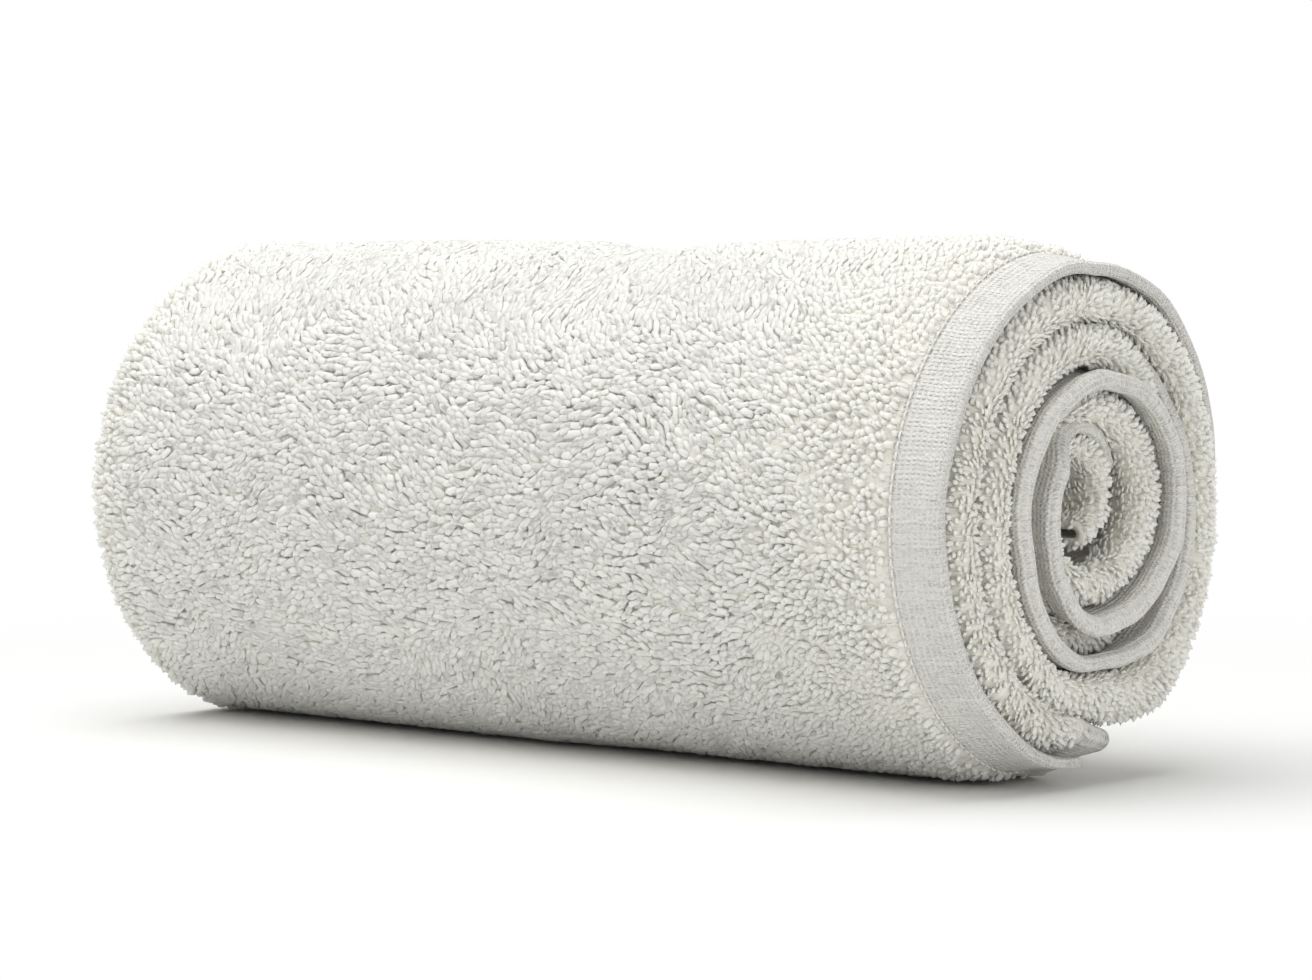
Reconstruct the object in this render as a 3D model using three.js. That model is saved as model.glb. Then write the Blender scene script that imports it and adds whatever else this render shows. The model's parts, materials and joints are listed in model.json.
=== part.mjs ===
// Rolled bath towel: one terry cloth folded in three along its length, then wound into a roll.
// Millimetres, +Z up. X runs along the roll, the end with the side hem faces +X,
// and the roll lies on a small flat spot at z = 0 with its loose end tucked under it.
import * as THREE from 'three';

// The cloth
const terryThickness = 4.7;
const hemThickness = 3.0;
const plyGap = 0.5;
const hemWidth = 17.5;
const hemShoulder = 3.0; // run over which the pile rises beside the hem

// The roll
const rollLength = 334; // from the far fold to the edge of the outer side hem
const firstRadius = 82; // outside of the cloth at its loose end, from the winding centre
const windingCentreHeight = 5; // the winding centre lies above the middle of the roll
const bellyHeight = 75.4; // from the middle of the roll down to the flat spot
const looseEndAngle = -83; // degrees from +Y, seen from the +X end
const windingAngle = 1440; // degrees, four turns of the two inner plies
const stepsPerTurn = 24;

// What gives way
const mouthDrawIn = 0.8; // per turn, because a hem is thinner than the pile beside it
const mouthDepth = 30; // how far from the mouth the roll starts to draw in
const bellyBulge = 2.2; // beside the flat spot
const bellyBulgeAngle = -112;
const bellyBulgeSpread = 28;
const squashDepth = 45; // how far into the roll the flat spot is felt
const looseEndSkew = 11; // degrees that the side hem stops short of the loose end, at the mouth
const coreSkew = 12; // degrees that the side hem stops short of the core's end
const coreSkewStart = 1080;

// How far the side hem and the near fold reach past the outer hem's edge along the winding,
// and how far the hem's edge flares from the winding, all in millimetres
const mouthShape = [
  { angle: 0, hem: 0, fold: 3, flare: 0 },
  { angle: 90, hem: 0, fold: 5, flare: 0 },
  { angle: 270, hem: -1, fold: 4, flare: 0 },
  { angle: 320, hem: -8, fold: 5, flare: 0 },
  { angle: 540, hem: -8, fold: 6, flare: 0 },
  { angle: 640, hem: 2, fold: -9, flare: 0 },
  { angle: 730, hem: 4, fold: -10, flare: 0 },
  { angle: 820, hem: 7, fold: -8, flare: 0 },
  { angle: 910, hem: 8, fold: 0, flare: -2 },
  { angle: 1000, hem: 8, fold: 1, flare: 0 },
  { angle: 1090, hem: 6, fold: 1, flare: 6 },
  { angle: 1180, hem: 3, fold: 1, flare: 0 },
  { angle: 1440, hem: -4, fold: -2, flare: 0 },
];

// Soft dips and swells along the roll, at a share of its length from the far end
const evenness = [
  { share: 0, swell: -1.0 },
  { share: 0.28, swell: 0.6 },
  { share: 0.5, swell: -1.6 },
  { share: 0.74, swell: 0.4 },
  { share: 1, swell: -0.4 },
];

const radians = THREE.MathUtils.degToRad;
const plyPitch = terryThickness + plyGap;
const turnPitch = 3 * plyPitch;
const plyDepth = [0.5, 1.5, 2.5].map((place) => place * plyPitch - plyGap / 2);
const farFoldRadius = plyPitch;
const nearFoldRadius = plyPitch / 2;
const hemHalf = hemThickness / 2;
const terryHalf = terryThickness / 2;
const mouthX = rollLength / 2;
const farX = -rollLength / 2;

function smooth(value) {
  const t = THREE.MathUtils.clamp(value, 0, 1);
  return t * t * (3 - 2 * t);
}

// Straight lines between the rows, so that plies with other points still lie side by side
function readTable(table, key, column, at) {
  const last = table.length - 1;
  if (at <= table[0][key]) return table[0][column];
  if (at >= table[last][key]) return table[last][column];
  const next = table.findIndex((row) => row[key] > at);
  const before = table[next - 1];
  const share = (at - before[key]) / (table[next][key] - before[key]);
  return THREE.MathUtils.lerp(before[column], table[next][column], share);
}

function arcStations(centreX, centreDepth, radius, fromDegrees, toDegrees, segments) {
  const stations = [];
  for (let i = 0; i <= segments; i += 1) {
    const turn = radians(THREE.MathUtils.lerp(fromDegrees, toDegrees, i / segments));
    stations.push({
      x: centreX + radius * Math.cos(turn),
      depth: centreDepth - radius * Math.sin(turn),
      half: terryHalf,
      along: turn,
    });
  }
  return stations;
}

// The centre line of the folded cloth from the outer side hem to the hidden one:
// outer ply, round the far fold, inner ply, round the near fold, middle ply.
function clothStations(angle) {
  const hemEdge = mouthX + readTable(mouthShape, 'angle', 'hem', angle);
  const foldEdge = mouthX + readTable(mouthShape, 'angle', 'fold', angle);
  const farEdge = farX + Math.max(0, readTable(mouthShape, 'angle', 'hem', angle));
  const farCentre = farEdge + farFoldRadius + terryHalf;
  const nearCentre = foldEdge - nearFoldRadius - terryHalf;
  const drawInStart = mouthX - mouthDepth;
  const [outer, between, inner] = plyDepth;
  const hiddenHem = farCentre + hemHalf;
  const straight = (x, depth, half, heading) => ({ x, depth, half, along: heading });
  const towardsFar = radians(90);
  const towardsMouth = radians(270);
  const span = (depth, heading) => evenness.slice(1, -1)
    .map((row) => straight(farX + row.share * rollLength, depth, terryHalf, heading));
  return [
    straight(hemEdge - hemHalf, outer, hemHalf, towardsFar),
    straight(hemEdge - hemWidth, outer, hemHalf, towardsFar),
    straight(hemEdge - hemWidth - hemShoulder, outer, terryHalf, towardsFar),
    straight(drawInStart, outer, terryHalf, towardsFar),
    ...span(outer, towardsFar).reverse(),
    ...arcStations(farCentre, between, farFoldRadius, 90, 270, 4),
    ...span(inner, towardsMouth),
    straight(drawInStart, inner, terryHalf, towardsMouth),
    ...arcStations(nearCentre, between + nearFoldRadius, nearFoldRadius, -90, 90, 3),
    straight(drawInStart, between, terryHalf, towardsFar),
    ...span(between, towardsFar).reverse(),
    straight(hiddenHem + hemWidth + hemShoulder, between, terryHalf, towardsFar),
    straight(hiddenHem + hemWidth, between, hemHalf, towardsFar),
    straight(hiddenHem, between, hemHalf, towardsFar),
  ];
}

// The closed outline of the folded cloth, out along one face and back along the other.
// At the towel's two end hems the plies are thin. At the loose end they also lie closer,
// level with the outside, where the roll rests on them.
function clothOutline(angle, endShare) {
  const { lerp } = THREE.MathUtils;
  const closer = angle < windingAngle / 2 ? endShare : 0;
  const pitchShare = lerp(1, (hemThickness + plyGap) / plyPitch, closer);
  const stations = clothStations(angle).map((station) => ({
    ...station,
    depth: lerp(terryHalf, hemHalf, closer) + (station.depth - terryHalf) * pitchShare,
    half: lerp(station.half, hemHalf, endShare),
    isOuterPly: station.depth < plyPitch ? 1 : 0,
  }));
  const offset = (station, side) => ({
    x: station.x + side * station.half * Math.cos(station.along),
    depth: station.depth - side * station.half * Math.sin(station.along),
    isOuterPly: station.isOuterPly,
  });
  const first = stations[0];
  const last = stations[stations.length - 1];
  return [
    { ...first, x: first.x + hemHalf },
    ...stations.map((station) => offset(station, 1)),
    { ...last, x: last.x - hemHalf },
    ...stations.map((station) => offset(station, -1)).reverse(),
  ];
}

function turnRadius(angle) {
  return firstRadius - turnPitch * angle / 360;
}

function bulge(direction) {
  const away = (direction - bellyBulgeAngle) / bellyBulgeSpread;
  return bellyBulge * Math.exp(-away * away);
}

// Sets a point of the folded cloth down in the roll
function place(point, baseAngle) {
  const share = (point.x - farX) / rollLength;
  const mouth = Math.max(0, 1 - (mouthX - point.x) / mouthDepth);
  const fromLoose = looseEndSkew * mouth * (1 - smooth(baseAngle / 60));
  const coreShare = smooth((baseAngle - coreSkewStart) / (windingAngle - coreSkewStart));
  const fromCore = coreSkew * smooth(share) * coreShare;
  const angle = baseAngle + point.isOuterPly * (fromLoose - fromCore);
  const direction = looseEndAngle - angle;
  const wrapped = THREE.MathUtils.euclideanModulo(direction + 270, 360) - 270;
  const drawIn = mouthDrawIn * (windingAngle - angle) / 360;
  const edge = mouthX + readTable(mouthShape, 'angle', 'hem', angle);
  const flareShare = point.isOuterPly * Math.max(0, 1 - (edge - point.x) / hemWidth);
  const flare = readTable(mouthShape, 'angle', 'flare', angle) * flareShare;
  const swell = readTable(evenness, 'share', 'swell', share);
  const surface = turnRadius(angle) + bulge(wrapped) + swell - mouth * drawIn + flare;
  const radius = surface - point.depth;
  const turn = radians(direction);
  const outside = firstRadius - turnPitch * (looseEndAngle - wrapped) / 360;
  const belly = windingCentreHeight + (outside + bulge(wrapped) + swell) * Math.sin(turn);
  const lift = Math.sin(turn) < 0 ? Math.max(0, -bellyHeight - belly) : 0;
  const felt = Math.max(0, 1 - Math.max(0, outside - radius) / squashDepth);
  const y = radius * Math.cos(turn);
  const z = windingCentreHeight + radius * Math.sin(turn) + lift * felt;
  return [point.x, y, Math.max(z, -bellyHeight)];
}

function towelGeometry() {
  const steps = windingAngle / 360 * stepsPerTurn;
  const hemSteps = 2;
  const positions = [];
  const rings = [];
  for (let step = 0; step <= steps; step += 1) {
    const angle = 360 * step / stepsPerTurn;
    const nearEnd = Math.min(step, steps - step);
    const outline = clothOutline(angle, 1 - smooth(nearEnd / hemSteps));
    rings.push(outline.map((point) => {
      positions.push(...place(point, angle));
      return positions.length / 3 - 1;
    }));
  }
  const indices = [];
  const count = rings[0].length;
  for (let step = 0; step < steps; step += 1) {
    for (let i = 0; i < count; i += 1) {
      const a = rings[step][i];
      const b = rings[step][(i + 1) % count];
      const c = rings[step + 1][(i + 1) % count];
      const d = rings[step + 1][i];
      // facing plies are split along the same diagonal, so they stay apart between their corners
      if (positions[3 * b] < positions[3 * a]) indices.push(a, c, b, a, d, c);
      else indices.push(a, d, b, b, d, c);
    }
  }
  const half = (count - 2) / 2;
  const cap = (ring, flip) => {
    const add = (a, b, c) => indices.push(ring[a], ring[flip ? c : b], ring[flip ? b : c]);
    const back = (i) => count - i;
    add(0, 1, back(1));
    for (let i = 1; i < half; i += 1) {
      add(i, i + 1, back(i + 1));
      add(i, back(i + 1), back(i));
    }
    add(half, half + 1, back(half));
  };
  cap(rings[0], false);
  cap(rings[steps], true);
  const geometry = new THREE.BufferGeometry();
  geometry.setAttribute('position', new THREE.Float32BufferAttribute(positions, 3));
  geometry.setIndex(indices);
  return geometry;
}

// The origin is the middle of the box that the towel fills, on the surface it lies on
function centreOnFloor(geometry) {
  geometry.computeBoundingBox();
  const { min, max } = geometry.boundingBox;
  geometry.translate(-(min.x + max.x) / 2, -(min.y + max.y) / 2, -min.z);
  geometry.computeVertexNormals();
  return geometry;
}

function terryTowel() {
  const cotton = new THREE.MeshStandardMaterial({
    name: 'white cotton terry',
    color: 0xe6e6e0,
    roughness: 0.95,
    metalness: 0,
  });
  const towel = new THREE.Mesh(centreOnFloor(towelGeometry()), cotton);
  towel.name = 'towel_roll';
  return towel;
}

const rolledTowel = new THREE.Group();
rolledTowel.add(terryTowel());

export default rolledTowel;
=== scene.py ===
import bpy
import json
import math
import numpy as np
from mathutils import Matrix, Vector

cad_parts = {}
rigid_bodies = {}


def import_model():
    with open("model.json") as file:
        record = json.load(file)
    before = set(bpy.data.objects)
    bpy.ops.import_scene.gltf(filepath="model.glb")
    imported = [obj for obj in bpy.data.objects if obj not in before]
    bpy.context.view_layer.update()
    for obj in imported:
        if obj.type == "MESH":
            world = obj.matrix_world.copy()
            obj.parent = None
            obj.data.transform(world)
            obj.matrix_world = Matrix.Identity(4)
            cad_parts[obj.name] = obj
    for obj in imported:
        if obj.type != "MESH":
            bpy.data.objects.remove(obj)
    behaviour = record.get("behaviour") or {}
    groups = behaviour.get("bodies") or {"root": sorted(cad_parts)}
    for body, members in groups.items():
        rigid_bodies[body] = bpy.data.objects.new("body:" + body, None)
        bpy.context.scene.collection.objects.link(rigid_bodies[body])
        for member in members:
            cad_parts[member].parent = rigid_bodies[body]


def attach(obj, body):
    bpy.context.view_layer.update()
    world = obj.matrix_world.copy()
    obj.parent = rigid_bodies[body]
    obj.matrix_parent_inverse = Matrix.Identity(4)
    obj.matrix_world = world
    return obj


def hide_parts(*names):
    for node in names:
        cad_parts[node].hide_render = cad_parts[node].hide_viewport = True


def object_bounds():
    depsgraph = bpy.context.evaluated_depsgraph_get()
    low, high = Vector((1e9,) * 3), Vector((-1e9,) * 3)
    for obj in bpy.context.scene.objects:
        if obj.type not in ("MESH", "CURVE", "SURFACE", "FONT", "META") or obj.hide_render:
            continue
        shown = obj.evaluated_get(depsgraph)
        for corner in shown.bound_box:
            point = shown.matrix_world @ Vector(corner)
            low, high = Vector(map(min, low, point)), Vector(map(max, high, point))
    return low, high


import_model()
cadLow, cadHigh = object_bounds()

# A bath towel folded in three and wound into a roll. Sizes in the dictionaries are millimetres
# and degrees, with the roll's own middle as zero, and meshes are turned to metres as they are made.

roll = {
    "length": 334,              # far fold to the edge of the outer side hem
    "firstRadius": 82,          # outside of the cloth at its loose end
    "centreHeight": 5,          # the winding centre above the middle of the roll
    "bellyHeight": 75.4,        # middle of the roll down to the flat spot
    "looseEnd": -83,            # direction of the loose end, from +Y, seen from +X
    "winding": 1440,            # four turns
    "stepAngle": 4.8,
    "drawInPerTurn": 0.8,       # turns are tighter at the mouth, over the last stretch
    "drawInRun": 30,
    "bulge": 2.2,               # the weight of the roll pushes it out low down at the front
    "bulgeAngle": -112,
    "bulgeSpread": 28,
    "squashDepth": 45,          # how deep the flat spot is felt
    "sag": 2.5,                 # the mouth hangs over its loose end at the lower right
    "sagAngle": -56,
    "sagSpread": 24,
    "sagFrom": 75,              # where it sets in, back from the mouth, and over what length
    "sagRun": 60,
    "sagCore": 26,              # radius from which it is felt, and over what width
    "sagCoreRun": 32,
    "dent": 2.4,                # a soft dent on top
    "dentPlace": 10,
    "dentRun": 15,
    "dentSpread": 38,
    "farTopShort": 2.4,         # the far folds reach less at the top and more at the bottom
    "farBottomLong": 3.0,
    "unevenness": 0.9,
    "pucker": 0.7,              # how far the hem's free edge wavers
    "looseFan": 11,             # the loose end slants this far at the mouth, fading along the cloth
    "looseFanRun": 60,
    "coreFan": 110,             # the inner end slants across the core, from coreFrom on
    "coreFrom": 1080,
}

cloth = {
    "plyPitch": 5.2,
    "plyOutset": 0.25,
    "middleDepth": 6,           # depth at which the cloth's length is measured
    "groundHalf": 0.85,         # half the woven ground under the pile
    "hemHalf": 1.3,             # half the folded hem, thickest at its edge
    "hemEdgeHalf": 1.9,
    "innerHemExtra": 1.0,       # the inner hems are plumper, as nothing presses on them
    "innerHemFrom": 520,
    "innerHemRun": 170,
    "hemSink": 0.9,             # the flat hem lies this much deeper than the ground's middle
    "hemWidth": 17.5,
    "hemRise": 2.0,
    "foldNeck": 16,             # the fold's plies close up over this length behind its crest
    "endHemRun": 16,            # degrees over which the cloth thins to its end hem
    "endHemPitch": 3.4,         # ply to ply where the three end hems lie together
    "endHemInset": 0.2,
    "hiddenHemGap": 2.5,        # the second side hem stops this far short of the far fold
    "hiddenHemWidth": 17,
    "hiddenHemShoulder": 20,
    "crestInset": 3.2,          # pile length that the near fold leaves room for
    "farInset": 2.2,
}

# Along the winding: reach of the side hem and of the near fold past the outer hem's edge,
# flare of the hem's edge, and how far the fold's crest swells inwards and outwards
mouthColumns = ("angle", "hem", "fold", "flare", "swellIn", "swellOut")
mouthRows = (
    (0, -1, 2, 2.0, 1.5, 0.0),
    (45, 0, 4, 1.2, 3.0, 0.0),
    (97, 0, 5, 0.3, 3.0, 0.0),
    (140, 1, 5, 1.0, 3.0, 0.0),
    (187, 1, 4, 1.8, 3.0, 0.3),
    (270, -1, 4, 0.3, 2.0, 1.0),
    (320, -8, 5, 0.0, 0.5, 3.0),
    (340, -8, 6, 0.0, 0.0, 8.5),
    (362, -8.5, 6, 0.0, 0.0, 11.0),
    (382, -9, 6, 0.0, 0.0, 3.0),
    (460, -9, 7, 0.0, 0.0, 3.2),
    (545, -8, 6, 0.0, 0.0, 3.0),
    (600, -3, 0, 0.0, 0.0, 1.0),
    (640, 2, -9, -1.0, 0.0, 0.0),
    (730, 4, 0, -0.5, 2.5, 0.0),
    (820, 7, -3, 0.0, 2.5, 0.0),
    (910, 8, 3, 0.0, 4.0, 0.8),
    (1000, 8, 5, -1.0, 3.0, 0.8),
    (1090, 6, 4, 4.5, 1.5, 0.5),
    (1180, 6, 0, -1.0, 0.5, 0.0),
    (1265, 6, -3, -3.0, 0.5, 0.0),
    (1300, 0, -2, -3.0, 0.5, 0.0),
    (1440, -6, -2, 0.0, 0.0, 0.0),
)

# How far the rim of the mouth is drawn in, by direction from +Y towards the top, and the radius
# from which it is felt, over rimDepth. It fades along the roll over rimRun.
rimRows = (
    (-180, 0, 20), (-150, 1.5, 36), (-120, 4, 42), (-90, 5, 42), (-76, 3, 42),
    (-60, -1.5, 36), (-40, -1.8, 30), (-20, -1.6, 22), (0, -0.6, 20),
    (45, 2.2, 14), (90, 4.4, 12), (125, 3, 12), (180, 0, 20),
)
rimRun = 26
rimDepth = 25

# Swells and dips along the roll, at a share of its length from the far end
evennessRows = ((0, -1.2), (0.28, 0.4), (0.5, -0.9), (0.74, 0.2), (1, -0.4))

mouthX = roll["length"] / 2
farX = -roll["length"] / 2
turnPitch = 3 * cloth["plyPitch"]
plyDepths = [(0.5 + ply) * cloth["plyPitch"] - cloth["plyOutset"] for ply in range(3)]


def smooth(value):
    t = np.clip(value, 0, 1)
    return t * t * (3 - 2 * t)


def readRows(rows, column, value):
    # a column of a table, read at a value of its first column
    rows = np.array(rows)
    return np.interp(value, rows[:, 0], rows[:, column])


def mouthAt(name, angle):
    # read at a few angles beside each other, which rounds the corners between the rows
    column = mouthColumns.index(name)
    besides = (-20, -10, 0, 10, 20)
    return sum(readRows(mouthRows, column, angle + beside) for beside in besides) / len(besides)


def wrapFrom(direction, low):
    # the same direction, counted in the one turn that starts at low
    return np.mod(direction - low, 360) + low


def soft(a, b, seed):
    # slow unevenness from a few sines, between about -1 and 1
    waves = ((1.0, 0.7, 0.9), (-0.6, 1.3, 0.7), (1.7, -0.9, 0.45), (0.4, 2.3, 0.35))
    total = 0
    for i, (alongA, alongB, size) in enumerate(waves):
        total = total + size * np.sin(alongA * a + alongB * b + seed * (1.7 + i))
    return total / 2.4


def hexColour(code):
    # sRGB hex to the linear values that a socket takes
    parts = [int(code[i:i + 2], 16) / 255 for i in (1, 3, 5)]
    linear = [c / 12.92 if c <= 0.04045 else ((c + 0.055) / 1.055) ** 2.4 for c in parts]
    return (*linear, 1.0)


print("towel: laying out the folded cloth")

sectionParts = {
    "hemPoints": 7,
    "outerPoints": 26,
    "farArc": 10,
    "innerPoints": 6,
    "nearArc": 12,
    "middlePoints": 5,
}


def sideHem(angle):
    # the side hem, from its rounded free edge to its shoulder beside the pile
    depth = plyDepths[0] + cloth["hemSink"]
    edge = mouthX + mouthAt("hem", angle)
    plumper = smooth((angle - cloth["innerHemFrom"]) / cloth["innerHemRun"])
    edgeHalf = cloth["hemEdgeHalf"] + cloth["innerHemExtra"] * plumper
    rows = []
    for turn in (0.5, 0.9, 1.35):       # radians round the edge
        x = edge - edgeHalf * (1 - math.cos(turn))
        rows.append((x, depth, 90, edgeHalf * math.sin(turn), 0))
    spots = np.linspace(edge - edgeHalf - 0.5, edge - cloth["hemWidth"], sectionParts["hemPoints"])
    for i, x in enumerate(spots):
        thinner = 0.3 * (i == len(spots) - 1)
        half = edgeHalf + (cloth["hemHalf"] - edgeHalf) * min(1, i / 2) - thinner
        rows.append((x, depth, 90, half, 0))
    return rows


def farFoldAt(angle):
    # middle of the far fold's arc
    height = math.sin(math.radians(roll["looseEnd"] - angle))
    farShift = roll["farTopShort"] * max(0, height) - roll["farBottomLong"] * max(0, -height)
    farEdge = farX + max(0, mouthAt("hem", angle)) + cloth["farInset"] + farShift
    return farEdge + cloth["plyPitch"] + cloth["groundHalf"]


def nearFoldAt(angle):
    # middle of the near fold's crest, as x and depth, and the crest's radius
    swellIn, swellOut = mouthAt("swellIn", angle), mouthAt("swellOut", angle)
    radius = cloth["plyPitch"] / 2 + (swellIn + swellOut) / 2
    depth = plyDepths[1] + cloth["plyPitch"] / 2 + (swellIn - swellOut) / 2
    foldEdge = mouthX + mouthAt("fold", angle) - cloth["crestInset"]
    return foldEdge - radius - cloth["groundHalf"], depth, radius


def clothLine(angle):
    # centre line of the folded cloth at one winding angle: rows of x, depth, heading, half
    # thickness, part (0 hem, 1 outer ply, 2 far fold, 3 inner ply, 4 near fold, 5 middle ply)
    half, hemHalf = cloth["groundHalf"], cloth["hemHalf"]
    outer, between, inner = plyDepths
    farRadius = cloth["plyPitch"]
    farCentre = farFoldAt(angle)
    crestX, crestDepth, crest = nearFoldAt(angle)
    neck = crestX - cloth["foldNeck"]
    rows = sideHem(angle)
    start = mouthX + mouthAt("hem", angle) - cloth["hemWidth"] - cloth["hemRise"]
    for x in np.linspace(start, farCentre, sectionParts["outerPoints"], endpoint=False):
        rows.append((x, outer, 90, half, 1))
    for turn in np.linspace(90, 270, sectionParts["farArc"]):
        x = farCentre + farRadius * math.cos(math.radians(turn))
        rows.append((x, between - farRadius * math.sin(math.radians(turn)), turn, half, 2))
    for x in np.linspace(farCentre, neck, sectionParts["innerPoints"] + 1)[1:]:
        rows.append((x, inner, 270, half, 3))
    for share in (0.35, 0.7):
        depth = inner + (crestDepth + crest - inner) * smooth(share)
        rows.append((neck + cloth["foldNeck"] * share, depth, 270, half, 4))
    for turn in np.linspace(-90, 90, sectionParts["nearArc"]):
        x = crestX + crest * math.cos(math.radians(turn))
        rows.append((x, crestDepth - crest * math.sin(math.radians(turn)), turn, half, 4))
    for share in (0.7, 0.35):
        depth = between + (crestDepth - crest - between) * smooth(share)
        rows.append((neck + cloth["foldNeck"] * share, depth, 90, half, 4))
    last = farCentre + cloth["hiddenHemGap"]
    for x in np.linspace(neck, last + cloth["hiddenHemShoulder"], sectionParts["middlePoints"]):
        rows.append((x, between, 90, half, 5))
    rows.append((last + cloth["hiddenHemWidth"], between, 90, hemHalf, 5))
    rows.append((last, between, 90, hemHalf, 5))
    return np.array(rows)


def clothOutline(angle, endShare):
    # the closed outline: out along one face, back along the other. The end hems are thin,
    # and at the loose end their plies lie closer, level with the outside.
    line = clothLine(angle)
    turn = np.radians(line[:, 2])
    half = line[:, 3] + (np.minimum(cloth["hemHalf"], line[:, 3] * 2) - line[:, 3]) * endShare
    closer = endShare if angle < roll["winding"] / 2 else 0
    pitchShare = 1 + (cloth["endHemPitch"] / cloth["plyPitch"] - 1) * closer
    top = plyDepths[0] + (cloth["hemHalf"] + cloth["endHemInset"] - plyDepths[0]) * closer
    depth = top + (line[:, 1] - plyDepths[0]) * pitchShare
    outX, outDepth = half * np.cos(turn), half * np.sin(turn)
    front = np.column_stack([line[:, 0] + outX, depth - outDepth])
    back = np.column_stack([line[:, 0] - outX, depth + outDepth])[::-1]
    tip = [[mouthX + mouthAt("hem", angle), depth[0]]]
    tail = [[line[-1, 0] - half[-1], depth[-1]]]
    points = np.vstack([tip, front, tail, back])
    parts = np.concatenate([[0], line[:, 4], [5], line[::-1, 4]])
    sides = np.concatenate([[0], np.ones(len(line)), [0], -np.ones(len(line))])
    run = np.cumsum(np.r_[1.5, np.hypot(*np.diff(line[:, :2], axis=0).T)])
    across = np.concatenate([[0], run, [run[-1] + 1.5], run[::-1]])
    return points, parts, sides, across


def mouthShare(x):
    # 0 well inside the roll, rising to 1 at the mouth
    return np.maximum(0, 1 - (mouthX - x) / roll["drawInRun"])


def slantAt(x, parts, base):
    # the cloth's ends don't lie straight along the roll: the loose one slants at the mouth, and
    # the inner one across the core
    share = (x - farX) / roll["length"]
    fromLoose = roll["looseFan"] * mouthShare(x) * (1 - smooth(base / roll["looseFanRun"]))
    nearCore = smooth((base - roll["coreFrom"]) / (roll["winding"] - roll["coreFrom"]))
    fromCore = roll["coreFan"] * smooth(share * 1.6 - 0.6) * nearCore
    return (parts <= 1) * (fromLoose - fromCore)


def hemWaverAt(x, parts, angle):
    # how far the side hem's free edge flares, and how far it wavers
    edge = mouthX + mouthAt("hem", angle)
    share = (parts <= 1) * np.clip(1 - (edge - x) / cloth["hemWidth"], 0, 1)
    flare = mouthAt("flare", angle) * share ** 1.3
    return flare, share * roll["pucker"] * soft(np.radians(angle) * 9, x / 30, 8)


def unevenAt(x, angle, direction, wrapped):
    # slow unevenness, which dies away in the inner turns, and the dent on top
    outerShare = smooth(2 - angle / 400)
    uneven = roll["unevenness"] * soft(x / 26, np.radians(wrapped) * 2.6, 3) * outerShare
    fromTop = wrapFrom(direction - 90, -180) / roll["dentSpread"]
    dent = np.exp(-((x - roll["dentPlace"]) / roll["dentRun"]) ** 2 - fromTop ** 2)
    return uneven - roll["dent"] * dent


def shapedAtMouth(x, direction, radius):
    # the mouth sags over the loose end, and its rim is drawn in
    fromSag = wrapFrom(direction - roll["sagAngle"], -180)
    nearMouth = smooth((x - mouthX + roll["sagFrom"]) / roll["sagRun"])
    sag = roll["sag"] * np.exp(-(fromSag / roll["sagSpread"]) ** 2) * nearMouth
    radius = radius + sag * smooth((radius - roll["sagCore"]) / roll["sagCoreRun"])
    around = wrapFrom(direction, -180)
    drawn = readRows(rimRows, 1, around) * smooth((x - mouthX + rimRun) / rimRun)
    return radius - drawn * smooth((radius - readRows(rimRows, 2, around)) / rimDepth)


def placeInRoll(x, depth, parts, base):
    # sets points of the folded cloth down in the roll, all of one winding angle
    angle = base + slantAt(x, parts, base)
    direction = roll["looseEnd"] - angle
    wrapped = wrapFrom(direction, -270)
    drawIn = roll["drawInPerTurn"] * (roll["winding"] - angle) / 360 * mouthShare(x)
    swell = readRows(evennessRows, 1, (x - farX) / roll["length"])
    bulge = roll["bulge"] * np.exp(-((wrapped - roll["bulgeAngle"]) / roll["bulgeSpread"]) ** 2)
    flare, waver = hemWaverAt(x, parts, angle)
    surface = roll["firstRadius"] - turnPitch * angle / 360 + bulge + swell - drawIn + flare
    radius = surface + unevenAt(x, angle, direction, wrapped) + waver - depth
    radius = shapedAtMouth(x, direction, radius)

    # what lies below the flat spot is pressed up, and less so further in
    turn = np.radians(direction)
    outside = roll["firstRadius"] - turnPitch * (roll["looseEnd"] - wrapped) / 360
    belly = roll["centreHeight"] + (outside + bulge + swell) * np.sin(turn)
    lift = np.where(np.sin(turn) < 0, np.maximum(0, -roll["bellyHeight"] - belly), 0)
    felt = np.maximum(0, 1 - np.maximum(0, outside - radius) / roll["squashDepth"])
    y = radius * np.cos(turn)
    z = roll["centreHeight"] + radius * np.sin(turn) + lift * felt
    return np.column_stack([x, y, np.maximum(z, -roll["bellyHeight"])]), angle


def towelPoints():
    steps = int(round(roll["winding"] / roll["stepAngle"]))
    rings, angles, lines = [], [], []
    for step in range(steps + 1):
        base = step * roll["stepAngle"]
        nearEnd = min(step, steps - step) * roll["stepAngle"]
        points, parts, sides, across = clothOutline(base, 1 - smooth(nearEnd / cloth["endHemRun"]))
        placed, angle = placeInRoll(points[:, 0], points[:, 1], parts, base)
        rings.append(placed)
        angles.append(angle)
        lines.append(points)
    return np.array(rings), np.array(angles), np.array(lines), parts, sides, across


rings, angles, outlines, parts, sides, across = towelPoints()
steps, count = rings.shape[0] - 1, rings.shape[1]

# The solid's box is centred over the origin, so the cloth, whose own middle is solidMiddle, is
# shifted the same way
cadMiddle = (cadLow + cadHigh) / 2 * 1000
solidMiddle = Vector((4.0, -3.88, 0))
shift = np.array([cadMiddle.x - solidMiddle.x, cadMiddle.y - solidMiddle.y, roll["bellyHeight"]])
rings = (rings + shift) / 1000
print("towel:", steps, "steps of", count, "points")


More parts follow.
